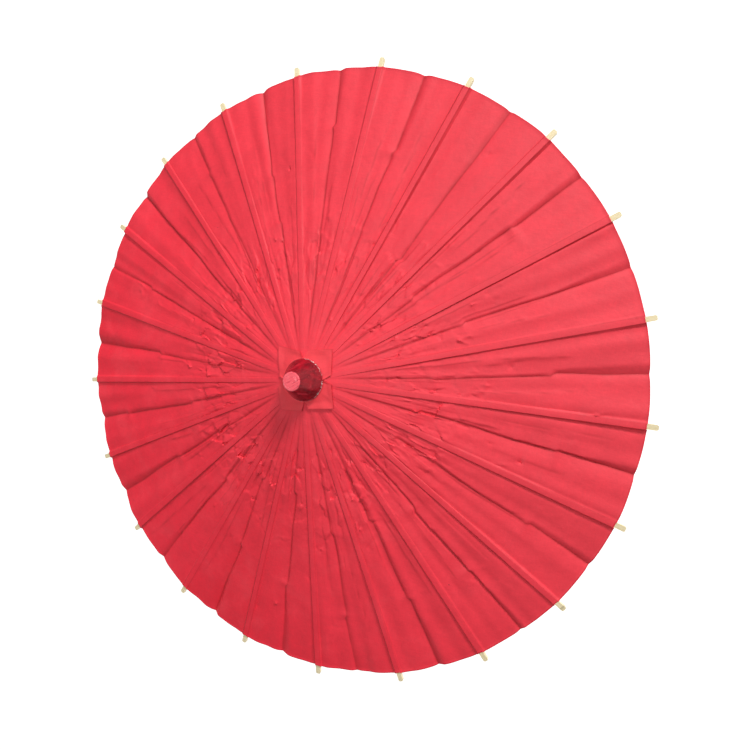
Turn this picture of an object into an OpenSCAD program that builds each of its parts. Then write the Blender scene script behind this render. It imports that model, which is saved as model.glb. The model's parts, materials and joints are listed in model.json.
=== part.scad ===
// Oil paper umbrella: a paper canopy glued on split bamboo ribs, held open by
// stretchers and a wooden runner that slides on the shaft. It is drawn open.
// Millimetres, +Z up the shaft, origin at the middle of the handle's grip.

/* [Canopy] */
// Number of ribs, each with a stretcher of its own
rib_count = 21; // [14:1:23]
// Distance from the shaft's axis to the rib tips when open
tip_radius = 300; // [270:5:340]
// Slope of the open ribs below the horizontal, in degrees
open_slope = 9.5; // [8:0.5:13]
// Bare bamboo past the edge of the paper
tip_show = 9; // [6:0.5:18]
// Thickness of the oiled paper
paper_t = 0.4; // [0.3:0.1:0.6]
// Dip of the crease between two ribs at the edge of the paper
crease_dip = 5; // [2:0.5:8]
// Reach of the crown patch's corners from the axis
patch_reach = 40; // [34:1:46]
// Direction of the crown patch's first corner, counted from the first rib
patch_turn = 57; // [0:1:89]

/* [Ribs and stretchers] */
// Width of a rib from its slit to its tip
rib_w = 4.6; // [4:0.1:4.8]
// Height of a rib
rib_h = 3; // [2.8:0.1:3.2]
// Distance along a rib from its head to its stretcher, which is as long
pivot_reach = 130; // [120:2:136]
// Width of a stretcher at its middle
stretcher_w = 3.2; // [2.4:0.1:3.6]
// Slope of the folded ribs, in degrees
closed_slope = 87; // [86:0.25:87.5]

/* [Hub and runner] */
// Radius of the thread rings through the rib heads and the stretcher ends
ring_r = 12.5; // [12.25:0.25:13.5]
// Outer radius of the slotted collars
collar_r = 16.5; // [16:0.25:17.5]
// Radius of the binding thread itself
thread_r = 0.35; // [0.25:0.05:0.4]
// Length of the runner below its thread ring
runner_drop = 31; // [26:1:40]

/* [Finial] */
// Radius of the finial's foot
finial_foot_r = 19; // [17:0.2:20]
// Radius of the finial's flat top
finial_top_r = 8.6; // [7.5:0.1:11]
// Height of the finial
finial_h = 22.5; // [17:0.5:28]

/* [Shaft and handle] */
// Radius of the shaft
shaft_r = 6; // [5.5:0.1:6.2]
// Radius of the handle's grip
grip_r = 9; // [8:0.25:10]
// Length of the grip's straight wall
grip_len = 80; // [70:2:100]

/* [Hidden] */
$fn = 96;
glue_gap = 0.05;      // round the shaft, in what is glued to it
slide_gap = 0.2;      // round the shaft, in the runner
paper_gap = 0.15;     // between the ribs and the paper
pin_r = 1;            // cross pins of bamboo
pin_gap = 0.05;
hole_r = 0.7;         // thread holes
head_w = 2.2;         // narrow ends of ribs and stretchers
head_len = 16;
flare_end = 110;      // where a rib reaches its full width
boss_r = 1.7;         // rounded head of a rib
end_boss_r = 1.6;     // rounded inner end of a stretcher
tongue_w = 1.8;       // outer end of a stretcher, which lies in the slit
tongue_h = 2.6;
tongue_len = 40;
slit_w = 2.2;
slit_in = 13;         // slit from the pivot towards the hub
slit_out = 36;        // and towards the tip, where the stretcher folds in
slot_w = 2.6;         // slots of the collars
slot_floor_r = 10.3;
groove_h = 1.4;       // groove that the thread ring lies in
hub_cover = 0.8;      // wood above the hub's slots
core_r = 9.5;         // plain part of the hub, below the slots
core_drop = 12;
stop_gap = 0.15;
patch_t = 0.3;
handle_shoulder = 10;
handle_foot = 6;
catch_w = 1.8;
catch_t = 0.8;
catch_len = 25;
catch_reach = 2;      // of the nose, past the shaft
catch_pin_r = 0.6;
catch_root = shaft_r - 1.1;

pitch = 360 / rib_count;
rib_len = (tip_radius - ring_r) / cos(open_slope);
handle_top = grip_len / 2 + handle_shoulder;
fold_gap = 4;         // between the folded runner and the handle
hub_z = handle_top + fold_gap + runner_drop + 2 * pivot_reach * sin(closed_slope);
runner_z = hub_z - 2 * pivot_reach * sin(open_slope);
pivot_r = ring_r + pivot_reach * cos(open_slope);
pivot_z = hub_z - pivot_reach * sin(open_slope);
slot_top = boss_r + 0.2;
hub_top = slot_top + hub_cover;
collar_h = 3.6;       // half the height of the runner's collar
paper_r = tip_radius - tip_show;
crown_z = hub_z + hub_top + 0.05;
crown_r = 27;         // where the paper starts to follow the ribs
finial_z = crown_z + paper_t + 0.05 + patch_t + 0.05;
shaft_top = finial_z + finial_h * 0.6;
shaft_foot = -grip_len / 8;
runner_foot = runner_z - runner_drop;
stop_z = runner_z + collar_h + stop_gap + pin_r;
catch_z = runner_foot - stop_gap;
catch_turn = pitch / 2;

function rib_name(i) = str("rib_", i < 10 ? "0" : "", i);
function stretcher_name(i) = str("stretcher_", i < 10 ? "0" : "", i);

// ---- shared shapes ----

// Outline symmetrical about the X axis, from its points on the +Y side
module mirrored_outline(half) {
    polygon(concat(half, [for (i = [len(half) - 1:-1:0]) [half[i].x, -half[i].y]]));
}

// Cylinder along Y, centred on the origin
module cross_rod(r, len) {
    rotate([90, 0, 0]) cylinder(r = r, h = len, center = true);
}

// Closed ring of round thread
module thread_ring(radius) {
    rotate_extrude() translate([radius, 0]) circle(r = thread_r, $fn = 8);
}

// Radial slots for rib heads or stretcher ends, and the thread's groove across them
module collar_cuts(low, high) {
    for (i = [0:rib_count - 1])
        rotate([0, 0, i * pitch])
            translate([slot_floor_r, -slot_w / 2, low])
                cube([collar_r, slot_w, high - low]);
    rotate_extrude()
        translate([ring_r - thread_r - 0.15, -groove_h / 2])
            square([collar_r, groove_h]);
}

// ---- shaft and handle ----

module shaft() {
    color("burlywood") difference() {
        translate([0, 0, shaft_foot]) cylinder(r = shaft_r, h = shaft_top - shaft_foot);
        translate([0, 0, hub_z - core_drop + 4]) cross_rod(pin_r + pin_gap, 30);
        translate([0, 0, stop_z]) cross_rod(pin_r + pin_gap, 30);
        rotate([0, 0, catch_turn]) translate([0, 0, catch_z]) {
            translate([2, -1.1, -catch_len - 2.6])
                cube([shaft_r, 2.2, catch_len + 4.6]);
            translate([catch_root, 0, -catch_len]) cross_rod(catch_pin_r + pin_gap, 30);
        }
    }
}

module handle() {
    neck = shaft_r + 2;
    color("peru") difference() {
        rotate_extrude() polygon([
            [0, -grip_len / 2 - handle_foot],
            [grip_r - 3, -grip_len / 2 - handle_foot],
            [grip_r - 0.8, -grip_len / 2 - handle_foot + 2],
            [grip_r - 0.8, -grip_len / 2 - 2],
            [grip_r - 1.6, -grip_len / 2 - 1.4],
            [grip_r - 1.6, -grip_len / 2 - 0.6],
            [grip_r, -grip_len / 2],
            [grip_r, grip_len / 2],
            [grip_r - 1.4, grip_len / 2 + 1.2],
            [grip_r - 1.4, grip_len / 2 + 2],
            [grip_r, grip_len / 2 + 3],
            [grip_r, grip_len / 2 + 5.5],
            [neck, handle_top - 1],
            [neck - 0.6, handle_top],
            [0, handle_top]]);
        translate([0, 0, shaft_foot - 0.2])
            cylinder(r = shaft_r + glue_gap, h = handle_top - shaft_foot + 1);
    }
}

// ---- top hub and what is above it ----

module top_hub() {
    color("tan") translate([0, 0, hub_z]) difference() {
        union() {
            translate([0, 0, -4]) cylinder(r = collar_r, h = 4 + hub_top);
            translate([0, 0, -core_drop]) cylinder(r = core_r, h = core_drop);
        }
        collar_cuts(-4.5, slot_top);
        translate([0, 0, -core_drop - 1])
            cylinder(r = shaft_r + glue_gap, h = core_drop + hub_top + 2);
        translate([0, 0, 4 - core_drop]) cross_rod(pin_r + pin_gap, 30);
    }
}

module hub_thread() {
    color("ivory") translate([0, 0, hub_z]) thread_ring(ring_r);
}

module hub_pin() {
    color("wheat") translate([0, 0, hub_z - core_drop + 4]) cross_rod(pin_r, 2 * core_r);
}

module finial() {
    color("darkred") translate([0, 0, finial_z]) difference() {
        rotate_extrude() polygon([
            [0, 0],
            [finial_foot_r - 0.6, 0],
            [finial_foot_r, 0.6],
            [finial_foot_r, 1.6],
            [finial_foot_r - 0.5, 2.6],
            [finial_top_r + 0.5, finial_h - 1.4],
            [finial_top_r, finial_h - 0.6],
            [finial_top_r - 0.8, finial_h],
            [0, finial_h]]);
        translate([0, 0, -1]) cylinder(r = shaft_r + glue_gap, h = finial_h * 0.6 + 1.2);
    }
}

// ---- paper ----

// Height of the paper's underside over a rib, at a radius beyond the hub
function over_rib(radius) = hub_z - (radius - ring_r) * tan(open_slope)
    + (rib_h / 2 + paper_gap) / cos(open_slope);

// Rings of the sheet: radius, height over a rib, half width of the flat strip on a
// rib, and dip of the crease between ribs
RINGS = [
    [8, crown_z, 0.8, 0],
    [collar_r + 0.1, crown_z, 1.4, 0],
    [crown_r, over_rib(crown_r), 1.7, 0.4],
    [pivot_r, over_rib(pivot_r), rib_w / 2, 0.9],
    [paper_r, over_rib(paper_r), rib_w / 2, crease_dip]];

function turned(p, a) = [p.x * cos(a) - p.y * sin(a), p.x * sin(a) + p.y * cos(a), p.z];

// Points of one ring, raised by lift: two edges of each rib's strip, then the crease
function ring_points(ring, lift) = [for (i = [0:rib_count - 1])
    each [
        turned([ring[0], -ring[2], ring[1] + lift], i * pitch),
        turned([ring[0], ring[2], ring[1] + lift], i * pitch),
        turned([ring[0], 0, ring[1] + lift - ring[3]], (i + 0.5) * pitch)]];

module canopy() {
    n = 3 * rib_count;
    last = len(RINGS) - 1;
    under = 0;
    over = n * len(RINGS);
    points = [for (lift = [0, paper_t]) each
        [for (ring = RINGS) each ring_points(ring, lift)]];
    sheet = [for (s = [0:last - 1]) for (j = [0:n - 1])
        let (a = s * n + j, b = s * n + (j + 1) % n, c = b + n, d = a + n)
            each [[a, b, c], [a, c, d]]];
    walls = [for (j = [0:n - 1])
        let (k = (j + 1) % n, a = last * n + j, b = last * n + k)
            each [
                [over + a, over + b, under + b], [over + a, under + b, under + a],
                [over + k, over + j, under + j], [over + k, under + j, under + k]]];
    color("crimson") polyhedron(points, concat(
        [for (f = sheet) [over + f[0], over + f[1], over + f[2]]],
        [for (f = sheet) [under + f[2], under + f[1], under + f[0]]],
        walls));
}

// Square of paper round the finial's foot, slit at the middle of each side
module crown_patch() {
    lift = paper_t + 0.05;
    rim = patch_reach + 1;
    // One lobe, as [angle from its corner, radius]: a slit's end, a side point, the
    // corner and the other side point
    lobe = [[-45, finial_foot_r + 1.4], [-35, crown_r + 1.4], [0, patch_reach], [35, crown_r + 1.4]];
    outline = [for (k = [0:3]) each [for (p = lobe)
        let (a = patch_turn + 90 * k + p[0]) [p[1] * cos(a), p[1] * sin(a)]]];
    color("firebrick") intersection() {
        rotate_extrude() polygon([
            [7, crown_z + lift],
            [collar_r + 0.4, crown_z + lift],
            [crown_r, over_rib(crown_r) + lift + 0.1],
            [rim, over_rib(rim) + lift + 0.1],
            [rim, over_rib(rim) + lift + 0.1 + patch_t],
            [crown_r, over_rib(crown_r) + lift + 0.1 + patch_t],
            [collar_r + 0.4, crown_z + lift + patch_t],
            [7, crown_z + lift + patch_t]]);
        translate([0, 0, hub_z - 20]) linear_extrude(40) polygon(outline);
    }
}

// ---- ribs and stretchers ----

module rib_solid() {
    difference() {
        union() {
            translate([0, 0, -rib_h / 2]) linear_extrude(rib_h) mirrored_outline([
                [0, head_w / 2],
                [head_len, head_w / 2],
                [flare_end, rib_w / 2],
                [rib_len - 1, rib_w / 2],
                [rib_len, rib_w / 2 - 0.8]]);
            cross_rod(boss_r, head_w);
        }
        cross_rod(hole_r, head_w + 2);
        translate([pivot_reach, 0, 0]) cross_rod(hole_r, rib_w + 2);
        translate([pivot_reach - slit_in, -slit_w / 2, -rib_h])
            cube([slit_in + slit_out, slit_w, 2 * rib_h]);
    }
}

module rib(i) {
    color("wheat") rotate([0, 0, (i - 1) * pitch]) translate([ring_r, 0, hub_z])
        rotate([0, open_slope, 0]) rib_solid();
}

// Drawn from its tongue, at the origin, to its inner end at -X
module stretcher_solid() {
    inner = -pivot_reach;
    difference() {
        union() {
            intersection() {
                translate([0, 0, -3]) linear_extrude(6) mirrored_outline([
                    [inner, head_w / 2],
                    [inner + 36, head_w / 2],
                    [inner + 48, stretcher_w / 2],
                    [-tongue_len - 10, stretcher_w / 2],
                    [-tongue_len, tongue_w / 2],
                    [0, tongue_w / 2]]);
                rotate([90, 0, 0]) translate([0, 0, -3]) linear_extrude(6)
                    mirrored_outline([
                        [inner, tongue_h / 2],
                        [inner + 30, tongue_h / 2],
                        [inner + 48, tongue_h / 2 + 0.4],
                        [-tongue_len - 10, tongue_h / 2 + 0.4],
                        [-tongue_len + 4, tongue_h / 2],
                        [0, tongue_h / 2]]);
            }
            cross_rod(tongue_h / 2, tongue_w);
            translate([inner, 0, 0]) cross_rod(end_boss_r, head_w);
        }
        cross_rod(hole_r, tongue_w + 2);
        translate([inner, 0, 0]) cross_rod(hole_r, head_w + 2);
    }
}

module stretcher(i) {
    color("navajowhite") rotate([0, 0, (i - 1) * pitch]) translate([pivot_r, 0, pivot_z])
        rotate([0, -open_slope, 0]) stretcher_solid();
}

module mid_thread() {
    color("ivory") translate([0, 0, pivot_z]) thread_ring(pivot_r);
}

// ---- runner, its stop and its catch ----

module runner() {
    color("tan") translate([0, 0, runner_z]) difference() {
        rotate_extrude() polygon([
            [0, -runner_drop],
            [slot_floor_r - 0.6, -runner_drop],
            [slot_floor_r, 0.6 - runner_drop],
            [slot_floor_r, 2.4 - runner_drop],
            [core_r - 0.1, 3.6 - runner_drop],
            [core_r - 0.1, -collar_h],
            [collar_r - 0.8, -collar_h],
            [collar_r, 0.8 - collar_h],
            [collar_r, collar_h - 0.8],
            [collar_r - 0.8, collar_h],
            [0, collar_h]]);
        collar_cuts(-collar_h - 1, collar_h + 1);
        translate([0, 0, -runner_drop - 1])
            cylinder(r = shaft_r + slide_gap, h = runner_drop + collar_h + 2);
    }
}

module runner_thread() {
    color("ivory") translate([0, 0, runner_z]) thread_ring(ring_r);
}

module stop_pin() {
    color("wheat") translate([0, 0, stop_z]) cross_rod(pin_r, 2 * shaft_r + 4);
}

// It ends inside the shaft's surface, so that the runner passes over it
module catch_pin() {
    pin_len = 2 * sqrt(shaft_r ^ 2 - (catch_root + catch_pin_r) ^ 2) - 0.1;
    color("silver") rotate([0, 0, catch_turn])
        translate([catch_root, 0, catch_z - catch_len]) cross_rod(catch_pin_r, pin_len);
}

// Leaf of spring steel in the shaft's slot; its nose holds up the runner
module catch_spring() {
    color("silver") rotate([0, 0, catch_turn]) translate([0, 0, catch_z]) difference() {
        union() {
            rotate([90, 0, 0]) translate([0, 0, -catch_w / 2]) linear_extrude(catch_w)
                polygon([
                    [catch_root - catch_t / 2, -catch_len],
                    [catch_root + catch_t / 2, -catch_len],
                    [catch_root + catch_t / 2, -14],
                    [shaft_r + catch_reach, -1.6],
                    [shaft_r + catch_reach, 0],
                    [catch_root - catch_t / 2, 0]]);
            translate([catch_root, 0, -catch_len]) cross_rod(1.5, catch_w);
        }
        translate([catch_root, 0, -catch_len]) cross_rod(catch_pin_r + pin_gap, catch_w + 2);
    }
}

shaft();
handle();
top_hub();
hub_thread();
hub_pin();
finial();
canopy();
crown_patch();
mid_thread();
stop_pin();
catch_pin();
catch_spring();
runner();
runner_thread();
for (i = [1:rib_count]) {
    rib(i);
    stretcher(i);
}
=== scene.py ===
"""Looks of the oil paper umbrella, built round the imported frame. Metres, the frame's own axes."""

import json
import math
import random

import bpy
import numpy as np
from mathutils import Matrix, Vector, noise


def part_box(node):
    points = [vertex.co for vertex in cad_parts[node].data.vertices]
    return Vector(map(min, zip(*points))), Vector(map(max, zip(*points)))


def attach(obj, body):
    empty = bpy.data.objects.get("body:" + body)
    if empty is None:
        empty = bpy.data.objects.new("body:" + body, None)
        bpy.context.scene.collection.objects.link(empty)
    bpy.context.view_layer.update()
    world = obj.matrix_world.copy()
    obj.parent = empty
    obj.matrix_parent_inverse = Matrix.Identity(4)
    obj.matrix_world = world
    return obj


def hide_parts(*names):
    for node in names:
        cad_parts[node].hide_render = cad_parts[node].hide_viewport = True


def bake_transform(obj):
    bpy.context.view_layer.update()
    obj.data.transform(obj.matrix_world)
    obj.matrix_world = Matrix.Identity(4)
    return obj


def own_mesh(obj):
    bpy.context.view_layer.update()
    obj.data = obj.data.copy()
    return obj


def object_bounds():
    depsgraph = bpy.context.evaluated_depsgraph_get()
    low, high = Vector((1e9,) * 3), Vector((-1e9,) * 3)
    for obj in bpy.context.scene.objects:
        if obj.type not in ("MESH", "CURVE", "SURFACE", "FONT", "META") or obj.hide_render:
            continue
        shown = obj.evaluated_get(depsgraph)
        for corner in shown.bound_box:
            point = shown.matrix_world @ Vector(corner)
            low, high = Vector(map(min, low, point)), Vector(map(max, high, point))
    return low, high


MM = 0.001
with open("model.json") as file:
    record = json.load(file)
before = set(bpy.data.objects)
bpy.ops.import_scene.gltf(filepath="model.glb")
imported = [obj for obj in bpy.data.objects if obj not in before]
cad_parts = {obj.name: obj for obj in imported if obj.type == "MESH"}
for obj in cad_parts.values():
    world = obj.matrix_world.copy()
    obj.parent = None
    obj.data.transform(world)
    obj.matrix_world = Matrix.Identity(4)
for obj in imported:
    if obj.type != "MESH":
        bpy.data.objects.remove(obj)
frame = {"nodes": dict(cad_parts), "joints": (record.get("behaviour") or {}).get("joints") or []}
cad_low, cad_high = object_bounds()

# ---------------------------------------------------------------- facts from the frame

JOINTS = {j["name"]: j for j in frame["joints"]}
RIBS = sorted(n for n in frame["nodes"] if n.startswith("rib_"))
STRETCHERS = sorted(n for n in frame["nodes"] if n.startswith("stretcher_"))
COUNT = len(RIBS)
PITCH = 2 * math.pi / COUNT
HALF_PITCH = PITCH / 2
ROOT, RUNNER = "shaft_assembly", "runner_assembly"

head = Vector(JOINTS["rib_01_fold"]["pos_m"])
pivot = Vector(JOINTS["stretcher_01_fold"]["pos_m"])
RING_R, HUB_Z = math.hypot(head.x, head.y), head.z
PIVOT_R, PIVOT_Z = math.hypot(pivot.x, pivot.y), pivot.z
SLOPE = math.atan2(HUB_Z - PIVOT_Z, PIVOT_R - RING_R)
FALL = math.tan(SLOPE)
RUNNER_Z = sum(c.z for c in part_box("runner_thread")) / 2
SHEET_T = 0.4 * MM                                    # the CAD sheet's thickness
CROWN_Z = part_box("canopy")[1].z                       # upper face of the paper on the hub
FOOT_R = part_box("finial")[1].x
RIM_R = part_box("canopy")[1].x
TIP_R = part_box("rib_01")[1].x
TIP_Z = HUB_Z - (TIP_R - RING_R) * FALL

# ---------------------------------------------------------------- small helpers


def smooth(x):
    """0 below 0, 1 above 1, smooth between."""
    x = np.clip(x, 0, 1)
    return x * x * (3 - 2 * x)


def noise_of(*axes, offset=0.0):
    """Smooth noise, about -1 to 1, at points given as equally shaped arrays."""
    shape = np.broadcast(*axes).shape
    flat = [np.broadcast_to(a, shape).ravel() + offset for a in axes]
    values = [noise.noise(Vector(p)) for p in zip(*flat)]
    return np.array(values).reshape(shape)


def facets_of(x, y, z):
    """Flat facets, each tilted its own way, with a step where two of them meet."""
    values = []
    for p in zip(x.ravel(), y.ravel(), z.ravel()):
        p = Vector(p)
        q = noise.voronoi(p)[1][0]
        tilt = Vector((math.sin(12.9 * q.x + 78.2 * q.y), math.sin(39.3 * q.y + 11.1 * q.z),
                       math.sin(27.7 * q.z + 5.3 * q.x)))
        values.append((p - q).dot(tilt))
    return np.array(values).reshape(x.shape)


def cells_of(x, y, z):
    """Distance to the nearest of many random points: pits with sharp ridges between them."""
    values = [noise.voronoi(Vector(p))[0][0] for p in zip(x.ravel(), y.ravel(), z.ravel())]
    return np.array(values).reshape(x.shape)


def grid_faces(rows, columns, start=0, closed=False):
    """Quads of a grid of points, rows x columns, the columns closed into a ring or not."""
    across = columns if closed else columns - 1
    faces = []
    for i in range(rows - 1):
        for j in range(across):
            k = (j + 1) % columns
            a, b = start + i * columns + j, start + i * columns + k
            faces.append((a, b, b + columns, a + columns))
    return faces


def new_object(name, points, faces, sharp=40):
    """A smooth-shaded mesh object, with edges over sharp degrees left sharp."""
    mesh = bpy.data.meshes.new(name)
    mesh.from_pydata([tuple(p) for p in points], [], faces)
    mesh.validate()
    mesh.shade_smooth()
    mesh.set_sharp_from_angle(angle=math.radians(sharp))
    obj = bpy.data.objects.new(name, mesh)
    bpy.context.scene.collection.objects.link(obj)
    return obj


def add_values(obj, name, values):
    """A number on each point of obj's mesh, for its material to read."""
    attribute = obj.data.attributes.new(name, "FLOAT", "POINT")
    attribute.data.foreach_set("value", np.asarray(values, np.float32).ravel())


def add_rest(obj):
    """The place of each point at rest, so that the material stays on the sheet as it folds."""
    rest = obj.data.attributes.new("rest", "FLOAT_VECTOR", "POINT")
    places = np.array([v.co for v in obj.data.vertices], np.float32)
    rest.data.foreach_set("vector", places.ravel())


def sheet_solid(name, upper, lower, flip=False):
    """A closed thin solid between two grids of points, each rows x columns x 3."""
    rows, columns = upper.shape[:2]
    n = rows * columns
    top = grid_faces(rows, columns)
    faces = [f[::-1] for f in top] + [tuple(i + n for i in f) for f in top]
    border = list(range(columns))
    border += [i * columns + columns - 1 for i in range(1, rows)]
    border += [(rows - 1) * columns + j for j in range(columns - 2, -1, -1)]
    border += [i * columns for i in range(rows - 2, 0, -1)]
    for a, b in zip(border, border[1:] + border[:1]):
        faces.append((a, b, b + n, a + n))
    if flip:
        faces = [f[::-1] for f in faces]
    points = np.concatenate([upper.reshape(-1, 3), lower.reshape(-1, 3)])
    obj = new_object(name, points, faces)
    add_rest(obj)
    return obj


def lathe(name, outline, turns=96):
    """A closed solid of revolution about Z. outline goes once round, as (radius, z)."""
    rows = len(outline)
    points = []
    for r, z in outline:
        for k in range(turns):
            a = 2 * math.pi * k / turns
            points.append((r * math.cos(a), r * math.sin(a), z))
    faces = grid_faces(rows, turns, closed=True)
    last = (rows - 1) * turns
    for k in range(turns):
        b = (k + 1) % turns
        faces.append((last + k, last + b, b, k))
    return new_object(name, points, faces)


# ---------------------------------------------------------------- materials


class Nodes:
    """Short ways to build one material's nodes."""

    def __init__(self, name):
        self.material = bpy.data.materials.new(name)
        self.material.use_nodes = True
        self.tree = self.material.node_tree
        self.shader = self.tree.nodes["Principled BSDF"]
        self.out = self.tree.nodes["Material Output"]

    def add(self, kind, **settings):
        node = self.tree.nodes.new("ShaderNode" + kind)
        for key, value in settings.items():
            setattr(node, key, value)
        return node

    def link(self, source, target):
        self.tree.links.new(source, target)

    def put(self, socket, value):
        if isinstance(value, bpy.types.NodeSocket):
            self.link(value, socket)
        elif isinstance(value, (int, float)):
            socket.default_value = value
        else:
            socket.default_value = (*value, 1) if len(value) == 3 and socket.type == "RGBA" else value

    def math(self, operation, a, b=0.0, clamp=False):
        node = self.add("Math", operation=operation, use_clamp=clamp)
        self.put(node.inputs[0], a)
        self.put(node.inputs[1], b)
        return node.outputs[0]

    def value(self, name):
        return self.add("Attribute", attribute_name=name).outputs["Fac"]

    def place(self, name=None):
        """The point's place: of the attribute called name, or of the object."""
        if name:
            return self.add("Attribute", attribute_name=name).outputs["Vector"]
        return self.add("TexCoord").outputs["Object"]

    def scaled(self, vector, scale, move=(0, 0, 0)):
        node = self.add("Mapping")
        self.put(node.inputs["Vector"], vector)
        node.inputs["Scale"].default_value = scale
        node.inputs["Location"].default_value = move
        return node.outputs[0]

    def combine(self, x, y, z):
        node = self.add("CombineXYZ")
        for socket, v in zip(node.inputs, (x, y, z)):
            self.put(socket, v)
        return node.outputs[0]

    def split(self, vector):
        node = self.add("SeparateXYZ")
        self.put(node.inputs[0], vector)
        return node.outputs

    def noise(self, vector, scale, detail=2.0, rough=0.5, distort=0.0):
        node = self.add("TexNoise")
        self.put(node.inputs["Vector"], vector)
        for key, v in (("Scale", scale), ("Detail", detail), ("Roughness", rough), ("Distortion", distort)):
            node.inputs[key].default_value = v
        return node.outputs["Fac"]

    def cells(self, vector, scale, feature="F1"):
        node = self.add("TexVoronoi", feature=feature)
        self.put(node.inputs["Vector"], vector)
        node.inputs["Scale"].default_value = scale
        return node.outputs["Distance"]

    def ramp(self, value, stops):
        """stops: (place, number or colour), from 0 to 1."""
        node = self.add("ValToRGB")
        self.put(node.inputs[0], value)
        elements = node.color_ramp.elements
        while len(elements) < len(stops):
            elements.new(0.5)
        for e, (at, c) in zip(elements, stops):
            e.position = at
            e.color = (c, c, c, 1) if isinstance(c, (int, float)) else (*c, 1)
        return node.outputs[0]

    def total(self, *terms):
        """Sum of the terms, each a value and its weight."""
        whole, *others = [self.math("MULTIPLY", value, weight) for value, weight in terms]
        for part in others:
            whole = self.math("ADD", whole, part)
        return whole

    def mix(self, share, a, b, blend="MIX"):
        node = self.add("Mix", data_type="RGBA", blend_type=blend)
        self.put(node.inputs[0], share)
        self.put(node.inputs[6], a)
        self.put(node.inputs[7], b)
        return node.outputs[2]

    def bump(self, height, strength, distance=1 * MM, normal=None):
        node = self.add("Bump")
        self.put(node.inputs["Height"], height)
        node.inputs["Strength"].default_value = strength
        node.inputs["Distance"].default_value = distance
        if normal is not None:
            self.link(normal, node.inputs["Normal"])
        return node.outputs[0]

    def finish(self, colour, rough, normal=None, **sockets):
        self.put(self.shader.inputs["Base Color"], colour)
        self.put(self.shader.inputs["Roughness"], rough)
        if normal is not None:
            self.link(normal, self.shader.inputs["Normal"])
        for name, v in sockets.items():
            self.shader.inputs[name.replace("_", " ")].default_value = v
        return self.material


PAINTED_SHEEN_AZIMUTH = math.radians(-50)       # the side towards which the paper is painted paler and pinker, a painted sheen


def paper_material(name, bright, deep, glow=0.09, rough=(0.60, 0.70)):
    """Dyed and oiled paper, mottled, with long fibres and specks. Painted shade darkens its creases, the
    edges of its ribs and its tucks; a painted sheen makes it paler and pinker towards one side and in random
    patches.
    """
    n = Nodes(name)
    at = n.place("rest")
    clouds = n.noise(at, 9, 3, 0.55)
    blots = n.noise(at, 55, 4, 0.6)
    fibres = n.noise(n.scaled(at, (1, 0.16, 1)), 900, 3, 0.7, 0.6)
    strands = n.noise(n.scaled(at, (0.14, 1, 1), (3, 1, 0)), 700, 3, 0.7, 0.8)
    colour = n.mix(n.ramp(clouds, [(0.3, 0.0), (0.7, 1.0)]), deep, bright)
    # painted sheen: the paper is painted paler and pinker towards one side
    x, y, _ = n.split(at)
    painted_sheen = n.total((x, math.cos(PAINTED_SHEEN_AZIMUTH)), (y, math.sin(PAINTED_SHEEN_AZIMUTH)))
    painted_sheen = n.math("ADD", n.math("MULTIPLY", painted_sheen, 0.5 / RIM_R), 0.5)
    colour = n.mix(n.ramp(painted_sheen, [(0.12, 0.0), (0.95, 0.62)]), colour, (0.80, 0.058, 0.080))
    # painted sheen: paler, pinker patches at random
    painted_sheen_patches = n.ramp(n.noise(at, 34, 3, 0.6, 0.4), [(0.48, 0.0), (0.72, 0.5)])
    colour = n.mix(painted_sheen_patches, colour, (0.92, 0.045, 0.072))
    tone = n.math("ADD", n.total((blots, 0.22), (fibres, 0.20), (strands, 0.14)), 0.72)
    colour = n.mix(1.0, colour, n.combine(tone, tone, tone), "MULTIPLY")
    # painted shade: darker red where the crease values say, in creases, along rib edges and along tucks
    painted_crease_shade = n.math("MULTIPLY", n.value("crease"), n.ramp(n.noise(at, 70, 3), [(0.25, 0.45), (0.75, 1.0)]))
    colour = n.mix(painted_crease_shade, colour, [c * k for c, k in zip(deep, (0.52, 0.22, 0.28))])
    colour = n.mix(n.math("MULTIPLY", n.value("edge"), 0.6), colour, (0.70, 0.008, 0.030))
    specks = n.ramp(n.cells(n.scaled(at, (1, 1, 0.3)), 58), [(0.0, 1.0), (0.020, 1.0), (0.036, 0.0)])
    few = n.ramp(n.noise(at, 31, 1), [(0.60, 0.0), (0.64, 1.0)])
    colour = n.mix(n.math("MULTIPLY", specks, few), colour, (0.12, 0.01, 0.012))
    normal = n.bump(n.total((fibres, 0.5), (strands, 0.5)), 0.22, 0.25 * MM)
    cockle = n.math("ADD", n.noise(at, 210, 3, 0.55), n.math("MULTIPLY", n.noise(at, 90, 2), 1.4))
    normal = n.bump(cockle, 0.30, 0.8 * MM, normal)
    rough = n.ramp(blots, [(0.3, rough[0]), (0.7, rough[1])])
    material = n.finish(colour, rough, normal, Specular_IOR_Level=0.6)
    glowing = n.add("BsdfTranslucent")
    n.link(colour, glowing.inputs["Color"])
    n.link(normal, glowing.inputs["Normal"])
    both = n.add("MixShader")
    both.inputs[0].default_value = glow
    n.link(n.shader.outputs[0], both.inputs[1])
    n.link(glowing.outputs[0], both.inputs[2])
    n.link(both.outputs[0], n.out.inputs["Surface"])
    return material


def radial_place(n):
    """Along, across and above the nearest rib, and that rib's number."""
    x, y, z = n.split(n.place())
    radius = n.math("SQRT", n.total((x, x), (y, y)))
    turn = n.math("DIVIDE", n.math("ARCTAN2", y, x), PITCH)
    number = n.math("ROUND", turn)
    across = n.math("MULTIPLY", n.math("MULTIPLY", n.math("SUBTRACT", turn, number), PITCH), radius)
    return radius, across, z, number


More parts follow.
